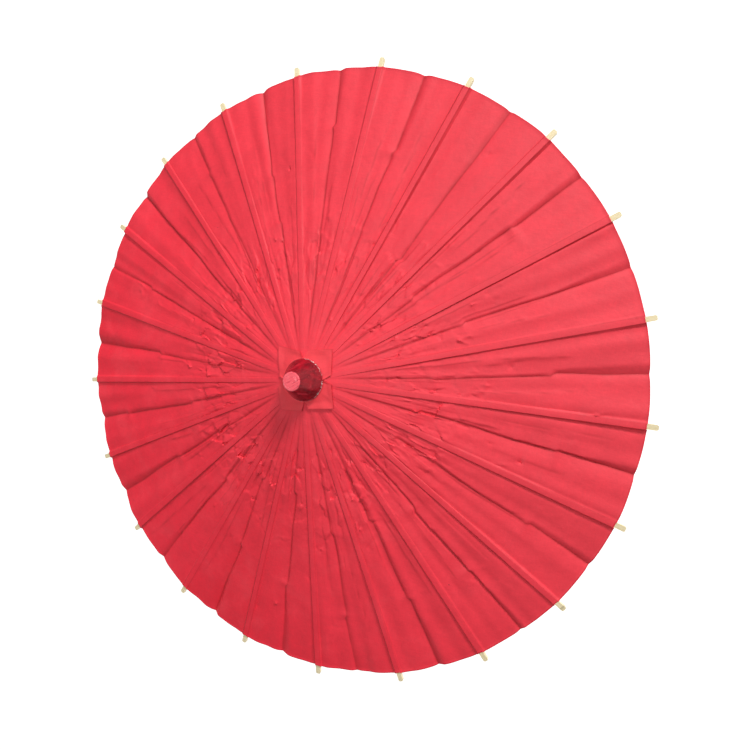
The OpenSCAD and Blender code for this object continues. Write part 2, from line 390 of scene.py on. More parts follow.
def bamboo_material(name, light, dark, joints=True):
    """Split bamboo along the radius: fine fibre lines, pores, and a dark joint now and then."""
    n = Nodes(name)
    along, across, z, number = radial_place(n)
    own = n.math("MULTIPLY", number, 0.37)
    grain = n.combine(n.math("MULTIPLY", along, 0.035), across, n.math("ADD", z, own))
    lines = n.noise(grain, 2300, 3, 0.65)
    bands = n.noise(grain, 480, 3, 0.6)
    tone = n.total((lines, 0.55), (bands, 0.45))
    colour = n.mix(n.ramp(tone, [(0.38, 0.0), (0.62, 1.0)]), dark, light)
    pieces = n.noise(n.combine(own, 0.0, 0.0), 3, 0)
    own_tone = n.ramp(pieces, [(0.2, (0.86, 0.84, 0.80)), (0.8, (1.0, 1.0, 1.0))])
    colour = n.mix(1.0, colour, own_tone, "MULTIPLY")
    height = tone
    if joints:
        step = n.math("FRACT", n.total((along, 6.2), (own, 0.71)))
        ring = n.ramp(step, [(0.0, 1.0), (0.006, 1.0), (0.016, 0.0)])
        colour = n.mix(n.math("MULTIPLY", ring, 0.55), colour, [c * 0.42 for c in dark])
        height = n.math("ADD", height, n.math("MULTIPLY", ring, 1.2))
    pores = n.ramp(n.noise(grain, 5200, 1), [(0.60, 0.0), (0.72, 1.0)])
    colour = n.mix(n.math("MULTIPLY", pores, 0.30), colour, [c * 0.5 for c in dark])
    rough = n.ramp(lines, [(0.3, 0.42), (0.7, 0.60)])
    return n.finish(colour, rough, n.bump(height, 0.35, 0.3 * MM), Specular_IOR_Level=0.45)


def wood_material(name, light, dark, upright, rough=(0.36, 0.52), lathe_marks=0.0, coat=0.0):
    """Wood with its grain along Z, rings that wander, pores, and faint lathe marks."""
    n = Nodes(name)
    x, y, z = n.split(n.place())
    grain = n.combine(x, y, n.math("MULTIPLY", z, 0.06))
    warp = n.noise(n.combine(x, y, n.math("MULTIPLY", z, 0.25)), 60, 2)
    rings = n.noise(grain, 210 if upright else 330, 4, 0.6, 1.4)
    lines = n.noise(grain, 1500, 3, 0.65)
    tone = n.total((rings, 0.55), (lines, 0.30), (warp, 0.15))
    colour = n.mix(n.ramp(tone, [(0.36, 0.0), (0.64, 1.0)]), dark, light)
    pores = n.ramp(n.noise(grain, 3800, 1), [(0.60, 0.0), (0.70, 1.0)])
    colour = n.mix(n.math("MULTIPLY", pores, 0.45), colour, [c * 0.45 for c in dark])
    worn = n.noise(n.place(), 38, 3)
    colour = n.mix(n.ramp(worn, [(0.55, 0.0), (0.8, 0.35)]), colour, [c * 0.62 for c in light])
    height = n.math("SUBTRACT", tone, n.math("MULTIPLY", pores, 0.5))
    marks = n.noise(n.combine(0.0, 0.0, z), 2600, 2)
    height = n.math("ADD", height, n.math("MULTIPLY", marks, lathe_marks))
    shine = n.ramp(tone, [(0.35, rough[1]), (0.65, rough[0])])
    return n.finish(colour, shine, n.bump(height, 0.30, 0.3 * MM), Specular_IOR_Level=0.5,
                    Coat_Weight=coat, Coat_Roughness=0.22)


def lacquer_material():
    """Thick dark-red lacquer over turned wood: runs, brush marks, dust, brighter mottles that are painted
    reflections, and a scratched flat top painted pale pink as a painted reflection of the light above.
    """
    n = Nodes("finial_lacquer")
    at = n.place()
    x, y, z = n.split(at)
    flow = n.combine(x, y, n.math("MULTIPLY", z, 0.3))
    pools = n.noise(flow, 120, 3, 0.6, 0.8)
    mottle_and_reflections = n.noise(at, 420, 3, 0.65)
    colour = n.mix(n.ramp(pools, [(0.35, 0.0), (0.65, 1.0)]), (0.15, 0.0012, 0.007), (0.36, 0.005, 0.016))
    # painted reflections: brighter red mottles on the dark lacquer
    colour = n.mix(n.ramp(mottle_and_reflections, [(0.56, 0.0), (0.74, 0.55)]), colour, (0.50, 0.030, 0.045))
    worn = n.ramp(n.noise(at, 75, 2, 0.5, 0.5), [(0.60, 0.0), (0.66, 0.6)])
    colour = n.mix(worn, colour, (0.60, 0.035, 0.060))
    foot_z, top_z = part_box("finial")[0].z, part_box("finial")[1].z
    up = n.math("DIVIDE", n.math("SUBTRACT", z, foot_z), top_z - foot_z)
    on_top = n.ramp(up, [(0.0, 0.0), (0.955, 0.0), (0.985, 1.0), (1.0, 1.0)])
    skew = n.combine(n.math("ADD", x, n.math("MULTIPLY", y, 0.75)),
                     n.math("SUBTRACT", y, n.math("MULTIPLY", x, 0.75)), 0.0)
    streaks = n.noise(n.scaled(skew, (1, 0.09, 1)), 620, 3, 0.6, 0.3)
    scratched = n.ramp(streaks, [(0.36, 0.0), (0.46, 1.0)])
    # painted reflection: the flat top is painted far paler and pinker than the sides; the streaks are
    # scratches
    painted_lit_top = n.mix(scratched, (0.62, 0.035, 0.060), (0.92, 0.115, 0.150))
    colour = n.mix(on_top, colour, painted_lit_top)
    height = n.total((pools, 1.6), (mottle_and_reflections, 0.5), (n.math("MULTIPLY", streaks, on_top), 0.35))
    rough = n.ramp(mottle_and_reflections, [(0.3, 0.10), (0.7, 0.24)])
    return n.finish(colour, rough, n.bump(height, 0.45, 0.9 * MM), Specular_IOR_Level=0.25,
                    Coat_Weight=0.22, Coat_Roughness=0.05)


def thread_material():
    n = Nodes("cotton_thread")
    at = n.place("rest")
    fuzz = n.noise(at, 6000, 2)
    dirt = n.noise(at, 160, 2)
    colour = n.mix(fuzz, (0.62, 0.54, 0.40), (0.90, 0.85, 0.73))
    colour = n.mix(n.ramp(dirt, [(0.5, 0.0), (0.8, 0.5)]), colour, (0.50, 0.20, 0.15))
    return n.finish(colour, 0.88, n.bump(fuzz, 0.5, 0.1 * MM), Specular_IOR_Level=0.2, Sheen_Weight=0.2)


def steel_material():
    n = Nodes("spring_steel")
    brushed = n.noise(n.scaled(n.place(), (1, 1, 0.03)), 5200, 2)
    stain = n.noise(n.place(), 700, 3)
    colour = n.mix(brushed, (0.42, 0.42, 0.43), (0.66, 0.66, 0.67))
    colour = n.mix(n.ramp(stain, [(0.58, 0.0), (0.72, 0.5)]), colour, (0.30, 0.20, 0.13))
    rough = n.ramp(brushed, [(0.2, 0.26), (0.8, 0.44)])
    return n.finish(colour, rough, n.bump(brushed, 0.2, 0.1 * MM), Metallic=1.0)


def floor_material():
    n = Nodes("studio_floor")
    grain = n.noise(n.place(), 3, 2)
    colour = n.mix(grain, (0.86, 0.86, 0.855), (0.89, 0.89, 0.885))
    n.finish(colour, 0.9, Specular_IOR_Level=0.1)
    n.shader.inputs["Emission Color"].default_value = (1, 1, 1, 1)
    n.shader.inputs["Emission Strength"].default_value = FLOOR_GLOW
    return n.material


# ---------------------------------------------------------------- camera and light

LENS, SENSOR = 32.35 * MM, 36 * MM
CAMERA_REACH = 0.6597           # from the middle of the rib tips' circle
CAMERA_TILT = 26.49             # degrees off the shaft
CAMERA_AZIMUTH = -71.09         # degrees round the shaft from +X
CAMERA_AIM = Vector((0.0120, -0.0476, TIP_Z))
CAMERA_ROLL = 98.26             # degrees about the line of sight
FLOOR_Z = cad_low.z - 2.2       # far enough for the shadow to fall outside the picture
FLOOR_GLOW = 0.80
HORIZON_GLOW, WORLD_GLOW = 0.60, 0.20    # the world's light from low down and from above
STUDIO_REACH = 19.0             # radius of the backdrop, and half the floor's side


def direction(azimuth, tilt):
    """Unit vector, tilt degrees off +Z, azimuth degrees about it from +X."""
    a, t = math.radians(azimuth), math.radians(tilt)
    return Vector((math.cos(a) * math.sin(t), math.sin(a) * math.sin(t), math.cos(t)))


def look(obj, place, aim, roll=0.0):
    turn = (aim - place).to_track_quat("-Z", "Y")
    obj.matrix_world = (Matrix.Translation(place) @ turn.to_matrix().to_4x4()
                        @ Matrix.Rotation(math.radians(roll), 4, "Z"))


def make_camera():
    data = bpy.data.cameras.new("camera")
    data.lens, data.sensor_width = LENS / MM, SENSOR / MM
    camera = bpy.data.objects.new("camera", data)
    bpy.context.scene.collection.objects.link(camera)
    middle = Vector((0, 0, TIP_Z))
    look(camera, middle + direction(CAMERA_AZIMUTH, CAMERA_TILT) * CAMERA_REACH, CAMERA_AIM, -CAMERA_ROLL)
    bpy.context.scene.camera = camera


def area_light(name, azimuth, tilt, distance, size, power, colour=(1, 1, 1)):
    data = bpy.data.lights.new(name, "AREA")
    data.shape, data.size, data.energy, data.color = "DISK", size, power, colour
    light = bpy.data.objects.new(name, data)
    bpy.context.scene.collection.objects.link(light)
    middle = Vector((0, 0, TIP_Z))
    look(light, middle + direction(azimuth, tilt) * distance, middle)


def make_backdrop():
    """A pale dome far round the floor, which only the camera sees."""
    rows, turns = 24, 48
    points = []
    for i in range(rows + 1):
        tilt = 180 * i / rows
        points += [direction(360 * k / turns, tilt) * STUDIO_REACH for k in range(turns)]
    dome = new_object("studio_backdrop", points, grid_faces(rows + 1, turns, closed=True))
    n = Nodes("studio_backdrop")
    shade = n.noise(n.place(), 0.05, 1)
    n.finish((0.0, 0.0, 0.0), 1.0, Specular_IOR_Level=0.0)
    n.put(n.shader.inputs["Emission Color"], n.mix(shade, (0.95, 0.95, 0.95), (0.98, 0.98, 0.98)))
    n.shader.inputs["Emission Strength"].default_value = 1.0
    dome.data.materials.append(n.material)
    for ray in ("diffuse", "glossy", "transmission", "volume_scatter", "shadow"):
        setattr(dome, "visible_" + ray, False)


def make_studio():
    area_light("overhead", azimuth=88, tilt=11, distance=1.7, size=0.6, power=10.5)
    area_light("key", azimuth=-24, tilt=63, distance=4.5, size=1.0, power=190, colour=(1.0, 0.985, 0.97))
    world = bpy.data.worlds.new("studio")
    world.use_nodes = True
    tree = world.node_tree
    place, split, ramp = (tree.nodes.new("ShaderNode" + kind)
                          for kind in ("TexCoord", "SeparateXYZ", "ValToRGB"))
    for element, at, level in zip(ramp.color_ramp.elements, (0.08, 0.32), (HORIZON_GLOW, WORLD_GLOW)):
        element.position, element.color = at, (level, level, level, 1)
    tree.links.new(place.outputs["Generated"], split.inputs[0])
    tree.links.new(split.outputs["Z"], ramp.inputs[0])
    tree.links.new(ramp.outputs[0], tree.nodes["Background"].inputs["Color"])
    bpy.context.scene.world = world
    bpy.context.scene.view_settings.view_transform = "Standard"
    corners = [(a * STUDIO_REACH, b * STUDIO_REACH, FLOOR_Z) for a, b in ((-1, -1), (1, -1), (1, 1), (-1, 1))]
    floor = new_object("studio_floor", corners, [(0, 1, 2, 3)])
    floor.data.materials.append(floor_material())
    make_backdrop()


# ---------------------------------------------------------------- the paper's shape

PAPER_T = 0.30 * MM
HEM_T = 0.25 * MM               # extra thickness of the rolled edge
HEM_W = 1.3 * MM
STRIP_START = 15.6 * MM
PANEL_START = 17.0 * MM
SHOULDER_R = 29 * MM            # where the paper comes down onto the ribs
STRIP_HALF = (2.12 * MM, 2.42 * MM)      # half width of the paper on a rib, at the hub and the rim
rng = random.Random(21)


def rib_top(r):
    """Height of the paper's upper face over a rib, past the hub."""
    lift = (1.5 * MM + 0.15 * MM) / math.cos(SLOPE) + SHEET_T
    return HUB_Z - (r - RING_R) * FALL + lift


def paper_top(r):
    """Height of the paper's upper face over a rib, at any radius."""
    r = np.asarray(r, float)
    a, b = 16.6 * MM, SHOULDER_R
    t = np.clip((r - a) / (b - a), 0, 1)
    za, zb, sa, sb = CROWN_Z, rib_top(b), -0.40 * (b - a), -FALL * (b - a)
    curve = ((2 * t**3 - 3 * t**2 + 1) * za + (t**3 - 2 * t**2 + t) * sa
             + (-2 * t**3 + 3 * t**2) * zb + (t**3 - t**2) * sb)
    return np.where(r < a, CROWN_Z, np.where(r > b, rib_top(r), curve))


def strip_half(r):
    share = (np.asarray(r) - PANEL_START) / (RIM_R - PANEL_START)
    return STRIP_HALF[0] + (STRIP_HALF[1] - STRIP_HALF[0]) * share


def radii(start):
    """Rows of points along the paper, closer together in the crumpled ring and at the hem."""
    rows, r = [], start
    while r < RIM_R - HEM_W - 1.4 * MM:
        rows.append(r)
        crumpled = 55 * MM < r < 165 * MM
        r += (0.8 if r < 26 * MM else 1.5 if crumpled else 2.1) * MM
    rows += [RIM_R - HEM_W * k for k in (1.0, 0.8, 0.5, 0.2, 0.0)]
    return np.array(rows)


def hem(r):
    """Extra half thickness of the rolled edge, round in section."""
    x = np.clip((np.asarray(r) - (RIM_R - HEM_W)) / HEM_W, 0, 1)
    return HEM_T / 2 * np.sqrt(np.clip(1 - (2 * x - 1) ** 2, 0, 1)) * (x > 0)


LEANING = math.radians(24)      # the creases lie over, away from this side of the first rib
RING_AT, RING_WIDE = 0.37, 0.125         # the crumpled ring, as shares of the rim's radius
PINCH_COUNT = 230
DEEP = 0.104                    # depth of a crease, of half the space between its ribs


def past_shoulder(r):
    """0 inside the shoulder at the hub, 1 well past it."""
    return smooth((r - 27 * MM) / (22 * MM))


def make_valleys():
    """How each crease between two ribs wanders, how deep it is, and where it is pinched."""
    made = []
    for k in range(COUNT):
        kinks = []
        for low, high in ((0.32, 0.52), (0.60, 0.86)):
            if rng.random() < 0.85:
                at = rng.uniform(low, high) * RIM_R
                kinks.append((at, rng.choice((-1, 1)) * rng.uniform(0.8, 2.4) * MM))
        made.append({"depth": rng.uniform(0.8, 1.2), "lean": rng.uniform(0.10, 0.32),
                     "reach": rng.uniform(3.0, 9.0) * MM, "phase": rng.uniform(0, 50),
                     "side": rng.uniform(-1.6, 1.6) * MM, "kinks": kinks,
                     "steep": 1 if math.sin((k + 0.5) * PITCH + LEANING) > 0 else -1,
                     "from": rng.uniform(0.60, 0.84) * RIM_R,
                     "narrow": rng.uniform(1.6, 3.0) * MM, "wide": rng.uniform(5.0, 9.0) * MM})
    return made


VALLEYS = make_valleys()


def crease_offset(valley, r):
    """How far the crease stands from the middle between its ribs, towards the next rib."""
    v = VALLEYS[valley]
    grown = smooth((r - 40 * MM) / (120 * MM))
    off = v["side"] * grown + 0.9 * MM * grown * noise_of(r / (34 * MM), 0 * r, 0 * r, offset=v["phase"])
    for at, step in v["kinks"]:
        off = off + step * (smooth((r - at) / (3 * MM)) - smooth((r - at) / (75 * MM)))
    return off


def crease_depth(valley, r):
    """How far the crease lies below the paper on the ribs."""
    v = VALLEYS[valley]
    width = r * HALF_PITCH - strip_half(r)
    wave = 1 + 0.16 * noise_of(r / (28 * MM), 0 * r + 3.3, 0 * r, offset=v["phase"])
    depth = v["depth"] * DEEP * width * wave
    for at, _ in v["kinks"]:
        depth = depth * (1 - 0.35 * np.exp(-(((r - at) / (5 * MM)) ** 2)))
    return depth + 0.05 * MM + 0.5 * MM * past_shoulder(r)


def crease_shape(valley, side, r, share, width):
    """From 0 at the rib to 1 at the crease. One side falls in a narrow steep flank, widest at the rim."""
    v = VALLEYS[valley]
    from_crease = width * (1 - share)
    if side == v["steep"]:
        wide = v["narrow"] + (v["wide"] - v["narrow"]) * smooth((r - v["from"]) / (RIM_R - v["from"]))
        wide = wide * (1 + 0.25 * noise_of(r / (11 * MM), 0 * r + 8.8, 0 * r, offset=v["phase"]))
        flank = np.clip(1 - from_crease / np.minimum(wide, 0.5 * width), 0, 1)
        return v["lean"] * share**1.5 + (1 - v["lean"]) * flank
    near = np.exp(-from_crease / v["reach"]) - np.exp(-width / v["reach"]) * (1 - share)
    return 0.5 * share**1.3 + 0.5 * near


def pinch_lines(valley, r, from_crease):
    """Short folds across the crease where it is pinched."""
    total = np.zeros_like(r)
    for at, step in VALLEYS[valley]["kinks"]:
        away = np.abs(r - at - 0.35 * from_crease * np.sign(step))
        total += 0.55 * MM * np.clip(1 - away / (2.6 * MM), 0, 1) * np.exp(-from_crease / (4.5 * MM))
        away = np.abs(r - at - 4.2 * MM + 0.2 * from_crease * np.sign(step))
        total -= 0.4 * MM * np.clip(1 - away / (2.2 * MM), 0, 1) * np.exp(-from_crease / (3.0 * MM))
    return total


def make_pinches():
    """Short sharp crumples: each a few small ridges that meet at a point."""
    made = []
    for _ in range(PINCH_COUNT):
        ring = rng.random() < 0.72
        r = rng.gauss(RING_AT, 0.10) * RIM_R if ring else rng.uniform(0.5, 0.93) * RIM_R
        a = rng.uniform(-math.pi, math.pi)
        at = np.array([r * math.cos(a), r * math.sin(a)])
        for _ in range(rng.randint(2, 4)):
            heading, length = rng.uniform(0, 2 * math.pi), rng.uniform(4, 13) * MM
            end = at + length * np.array([math.cos(heading), math.sin(heading)])
            height = rng.choice((-1, 1)) * rng.uniform(0.35, 0.95) * MM
            made.append((at, end, height, rng.uniform(0.9, 1.9) * MM))
    return made


PINCHES = make_pinches()


def pinch_height(x, y):
    total = np.zeros_like(x)
    low, high = np.array([x.min(), y.min()]) - 4 * MM, np.array([x.max(), y.max()]) + 4 * MM
    for a, b, height, wide in PINCHES:
        if (np.maximum(a, b) < low).any() or (np.minimum(a, b) > high).any():
            continue
        d = b - a
        t = np.clip(((x - a[0]) * d[0] + (y - a[1]) * d[1]) / (d @ d), 0, 1)
        away = np.hypot(x - a[0] - t * d[0], y - a[1] - t * d[1])
        total += height * (1 - 0.75 * t) * np.clip(1 - away / wide, 0, 1)
    return total


def crumple(x, y, r):
    """Height of the paper's waves, folds and crumples, in the world's own x and y."""
    angle = np.arctan2(y, x)
    c, s = np.cos(angle), np.sin(angle)
    patchy = 0.5 + 0.9 * smooth(0.5 + 1.1 * noise_of(c * 2.2, s * 2.2, r / (60 * MM), offset=6.4))
    ring = np.exp(-(((r / RIM_R - RING_AT) / RING_WIDE) ** 2)) * patchy
    grown = smooth((r - 30 * MM) / (40 * MM))
    stripes = noise_of(c * 20, s * 20, r / (150 * MM), offset=4.2)
    pleats = np.abs(noise_of(c * 38, s * 38, r / (95 * MM), offset=9.1))
    height = 1.8 * stripes * r / RIM_R - 0.50 * pleats * (0.25 + ring) * smooth((r - 60 * MM) / (50 * MM))
    height = height + 0.5 * ring * cells_of(c * 15, s * 15, r / (13 * MM))
    height = height + 1.15 * (0.04 + ring) * facets_of(c * 11, s * 11, r / (17 * MM))
    swell = noise_of(x / (22 * MM), y / (22 * MM), 0 * x, offset=7.7)
    height = height + 0.45 * swell * smooth((r - 90 * MM) / (60 * MM))
    height = height + 0.15 * (0.15 + ring) * facets_of(c * 38, s * 38, r / (7.0 * MM))
    height = height + 0.05 * noise_of(x / (3.2 * MM), y / (3.2 * MM), 0 * x, offset=2.6)
    return height * MM * grown + pinch_height(x, y) * grown


def make_tucks(half):
    """Long thin folds on one half panel: where each starts and ends, and how it steps."""
    draws = random.Random(500 + half)
    made = []
    for _ in range(draws.choice((1, 2, 2, 3))):
        start = draws.uniform(0.22, 0.58) * RIM_R
        made.append({"from": start, "to": start + draws.uniform(0.12, 0.42) * RIM_R,
                     "at": draws.uniform(0.25, 0.9), "drift": draws.uniform(-0.28, 0.28),
                     "height": draws.choice((-1, -1, 1)) * draws.uniform(0.15, 0.42) * MM,
                     "wide": draws.uniform(0.6, 1.5) * MM, "phase": draws.uniform(0, 40)})
    return made


def tuck_height(tucks, r, share, width):
    total = np.zeros_like(r)
    line = np.zeros_like(r)
    for k in tucks:
        t = (r - k["from"]) / (k["to"] - k["from"])
        ends = smooth(t / 0.2) * smooth((1 - t) / 0.2)
        path = k["at"] + k["drift"] * t + 0.03 * noise_of(r / (16 * MM), 0 * r, 0 * r, offset=k["phase"])
        away = (share - path) * width
        step = np.tanh(away / k["wide"]) * np.exp(-np.abs(away) / (7 * MM))
        total += k["height"] * ends * (step - 0.8 * np.exp(-((away / k["wide"]) ** 2)))
        # a line along each tuck, which the half panel paints as shade
        line = np.maximum(line, ends * np.exp(-((away / (0.55 * MM)) ** 2)))
    near_crease = smooth((1 - share) / 0.07)
    return total * near_crease, line * near_crease


def local_frame(i):
    """Unit vectors of rib i: outwards along it, sideways, and up off its top."""
    a = i * PITCH
    along = Vector((math.cos(a) * math.cos(SLOPE), math.sin(a) * math.cos(SLOPE), -math.sin(SLOPE)))
    side = Vector((-math.sin(a), math.cos(a), 0))
    return along, side, along.cross(side)


FOLD_LEAN = math.radians(0.8)   # inward lean of each half panel's fold axis
PANEL_COLUMNS = 27              # points across a half pleat, closer together at both edges


def paper_solid(name, x, y, z, r, crease, material, flip=False):
    """A piece of the canopy from the heights of its upper face, with the rolled hem at the rim."""
    upper = np.stack([x, y, z + hem(r)], axis=-1)
    lower = np.stack([x, y, z - PAPER_T - hem(r)], axis=-1)
    obj = sheet_solid(name, upper, lower, flip=flip)
    at_edge = np.clip((r - (RIM_R - HEM_W)) / (0.2 * HEM_W), 0, 1)
    # crease holds the painted shade that the material darkens the paper with
    add_values(obj, "crease", [crease, crease])
    add_values(obj, "edge", [at_edge, at_edge])
    obj.data.materials.append(material)
    return obj


def half_panel(i, side, material):
    """The paper from rib i's strip to the crease on one side of it. It rides on rib i."""
    rows = radii(PANEL_START)
    even = np.linspace(0, 1, PANEL_COLUMNS)
    shares = 0.3 * even + 0.7 * (1 - np.cos(math.pi * even)) / 2
    r, share = np.meshgrid(rows, shares, indexing="ij")
    valley = i if side > 0 else (i - 1) % COUNT
    edge = np.arcsin(strip_half(rows) / rows)
    crease = HALF_PITCH + side * crease_offset(valley, rows) / rows
    edge, crease = edge[:, None], crease[:, None]
    angle = edge + (crease - edge) * share
    width = (crease - edge) * r
    from_edge, from_crease = width * share, width * (1 - share)

    draws = random.Random(900 + 2 * i + (side > 0))
    bevel = shares[draws.choice((2, 3, 3))]
    shaded = side == VALLEYS[valley]["steep"]
    steeper = 1.8 if shaded else 1.0
    drop = draws.uniform(0.0026, 0.0040) * r * steeper + 0.28 * MM * past_shoulder(r)
    total = crease_depth(valley, rows)[:, None]
    shape = crease_shape(valley, side, r, share, width)
    depth = drop * np.minimum(share / bevel, 1) ** 1.25 + (total - drop) * shape

    world = i * PITCH + side * angle
    notch = 0.0028 * share**1.4 - 0.002 + 0.0018 * np.exp(-((from_crease / (3.5 * MM)) ** 2))
    wander = 0.0022 * noise_of(np.cos(world) * 9, np.sin(world) * 9, 0 * r, offset=31)
    out = smooth((r / RIM_R - 0.75) / 0.25)
    radius = r * (1 - notch * out + wander * out * smooth(from_edge / (6 * MM)))
    x, y = radius * np.cos(world), radius * np.sin(world)
    tucks, lines = tuck_height(make_tucks(2 * i + (side > 0)), r, share, width)
    rough = crumple(x, y, r) * smooth(from_edge / (2.4 * MM))
    z = paper_top(r) - depth + rough + tucks + pinch_lines(valley, r, from_crease)

    # painted shade for the material: along the crease, over the steep flank on the shaded side, in a line
    # along the rib's edge (stronger on the shaded side) and along the tucks
    grown = smooth((r - 28 * MM) / (30 * MM))
    dark = 0.85 * np.exp(-((from_crease / (0.9 * MM)) ** 2)) * grown
    if shaded:
        dark = np.maximum(dark, 0.55 * smooth(1.6 * (shape - 0.35)) * grown)
    line, wide = (0.75, 0.8 * MM) if shaded else (0.45, 0.4 * MM)
    along_rib = np.exp(-(((from_edge - 0.5 * MM) / wide) ** 2))
    dark = np.maximum(dark, line * smooth(r / (120 * MM)) * along_rib)
    dark = np.maximum(dark, 0.55 * lines)
    name = f"paper_{i + 1:02d}_{'left' if side > 0 else 'right'}"
    obj = paper_solid(name, x, y, z, r, dark, material, flip=side < 0)

    along, across, up = local_frame(i)
    run = RIM_R - PANEL_START
    strip_edge = along + across * side * (STRIP_HALF[1] - STRIP_HALF[0]) / run * math.cos(SLOPE)
    axis = across * side * math.cos(FOLD_LEAN) + up * math.sin(FOLD_LEAN)
    axis = (axis - strip_edge.normalized() * axis.dot(strip_edge.normalized())).normalized()
    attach(obj, RIBS[i])
    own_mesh(obj)
    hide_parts("canopy")
    return obj


def strip(i, material):
    """The paper glued along the top of rib i. It curves down at the edge of the hub."""
    rows = radii(STRIP_START)
    shares = np.linspace(-1, 1, 7)
    r, share = np.meshgrid(rows, shares, indexing="ij")
    half = strip_half(r)
    angle = i * PITCH + np.arcsin(half * share / r)
    z = paper_top(r) + 0.10 * MM * (1 - share**2) * smooth((r - 20 * MM) / (20 * MM))
    wave = 0.05 * MM * noise_of(r / (13 * MM), share, 0 * r, offset=3.1 * i)
    z = z + wave * (1 - share**2)
    x, y = r * np.cos(angle), r * np.sin(angle)
    obj = paper_solid(f"paper_{i + 1:02d}_strip", x, y, z, r, 0 * r, material)
    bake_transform(obj)
    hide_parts("canopy")
    return obj


def crown_disc(material):
    """The flat middle of the paper, on the hub and under the finial."""
    inner, outer = 7 * MM, 17.2 * MM
    z, t = CROWN_Z, PAPER_T
    obj = lathe("paper_crown", [(inner, z - t), (outer, z - t), (outer, z - t / 2), (outer, z - 0.02 * MM),
                                (inner, z - 0.02 * MM)])
    add_rest(obj)
    for name in ("crease", "edge"):
        add_values(obj, name, np.zeros(len(obj.data.vertices)))
    obj.data.materials.append(material)
    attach(obj, ROOT)
    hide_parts("canopy")
    return obj


def make_canopy():
    material = paper_material("red_oiled_paper", (0.90, 0.018, 0.046), (0.82, 0.011, 0.034))
    crown_disc(material)
    for i in range(COUNT):
        glued = strip(i, material)
        for side in (1, -1):
            panel = half_panel(i, side, material)


# ---------------------------------------------------------------- crown patch

PATCH_T = 0.22 * MM
PATCH_TURN = 57                 # degrees, azimuth of one corner
LOBE_START, LOBE_BEND = 14 * MM, (18.2 * MM, 27 * MM)


def between(r1, a1, r2, a2, a):
    """Radius at angle a on the straight line between two points given as radius and angle."""
    return r1 * r2 * math.sin(a2 - a1) / (r1 * math.sin(a - a1) + r2 * math.sin(a2 - a))


def lobe(k, material):
    """One lobe of the square of paper round the finial's foot."""
    draws = random.Random(70 + k)
    middle = math.radians(PATCH_TURN + 90 * k)
    reach = draws.uniform(37.5, 42.5) * MM
    lean = math.radians(draws.uniform(-8, 8))
    outline = [(-math.radians(45), 19.2 * MM),
               (-math.radians(draws.uniform(33, 38)), draws.uniform(26.0, 29.0) * MM),
               (lean, reach),
               (math.radians(draws.uniform(33, 38)), draws.uniform(26.0, 29.0) * MM),
               (math.radians(45), 19.2 * MM)]
    columns = []
    for (a1, r1), (a2, r2), steps in zip(outline, outline[1:], (6, 12, 12, 6)):
        for s in range(steps):
            a = a1 + (a2 - a1) * s / steps
            columns.append((a, between(r1, a1, r2, a2, a)))
    columns.append(outline[-1])
    angles = np.array([a for a, _ in columns])
    ends = np.array([r for _, r in columns])
    share = np.linspace(0, 1, 22)[:, None]
    r = LOBE_START + (ends - LOBE_START) * share
    world = middle + angles + 0 * r
    x, y = r * np.cos(world), r * np.sin(world)
    out = smooth((share - 0.55) / 0.45)
    uneven = 0.5 + 0.5 * noise_of(angles * 3 + 0 * r, 0 * r, 0 * r, offset=k * 7.0)
    curl = draws.uniform(1.0, 2.6) * MM * out * uneven
    waves = noise_of(x / (9 * MM), y / (9 * MM), 0 * x, offset=k)
    ripple = 0.34 * MM * waves * smooth((r - 18 * MM) / (6 * MM))
    from_fold = np.abs(angles - draws.uniform(-0.5, 0.5)) * r
    fold = 0.42 * MM * np.exp(-from_fold / (1.2 * MM)) * smooth((r - 19 * MM) / (5 * MM))
    z = paper_top(r) + 0.34 * MM + curl + ripple + fold
    upper = np.stack([x, y, z], axis=-1)
    lower = np.stack([x, y, z - PATCH_T], axis=-1)
    obj = sheet_solid(f"patch_lobe_{k + 1}", upper, lower)
    # painted shade along the lobe's outer edge, passed to the material with the crease values
    painted_edge_shade = smooth((share - 0.965) / 0.03) + 0 * r
    add_values(obj, "crease", [0.5 * painted_edge_shade, 0.5 * painted_edge_shade])
    add_values(obj, "edge", [0 * r, 0 * r])
    obj.data.materials.append(material)
    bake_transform(obj)
    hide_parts("crown_patch")
    return obj


def make_patch():
    material = paper_material("red_patch_paper", (0.90, 0.036, 0.052), (0.84, 0.024, 0.040),
                              glow=0.08, rough=(0.64, 0.74))
    for k in range(4):
        lobe(k, material)


# ---------------------------------------------------------------- threads and glue

TWIST = 2.4 * MM                # length of one turn of the two plies
RING_THREAD, MID_THREAD = 0.36 * MM, 0.34 * MM      # radii of the two sizes of thread


def twisted_thread(name, path, radius, material, closed=False, twist=TWIST):
    """Two plies of thread laid round each other along path, a list of points."""
    points, faces = [], []
    path = [Vector(p) for p in path]
    count, sides = len(path), 7
    for ply in range(2):
        start, travelled = len(points), 0.0
        for k, p in enumerate(path):
            after = path[(k + 1) % count] if closed else path[min(k + 1, count - 1)]
            before = path[k - 1] if closed else path[max(k - 1, 0)]
            tangent = (after - before).normalized()
            across = Vector((0, 0, 1)).cross(tangent).normalized()
            up = tangent.cross(across)
            turn = 2 * math.pi * travelled / twist + math.pi * ply
            middle = p + (across * math.cos(turn) + up * math.sin(turn)) * radius * 0.46
            for s in range(sides):
                a = 2 * math.pi * s / sides
                points.append(middle + (across * math.cos(a) + up * math.sin(a)) * radius * 0.54)
            travelled += (after - p).length
        faces += grid_faces(count, sides, start, closed=True)
        last = start + (count - 1) * sides
        if closed:
            for s in range(sides):
                b = (s + 1) % sides
                faces.append((last + s, last + b, start + b, start + s))
        else:
            faces.append(tuple(start + s for s in reversed(range(sides))))
            faces.append(tuple(last + s for s in range(sides)))
    obj = new_object(name, points, faces, sharp=70)
    add_rest(obj)
    obj.data.materials.append(material)
    return obj


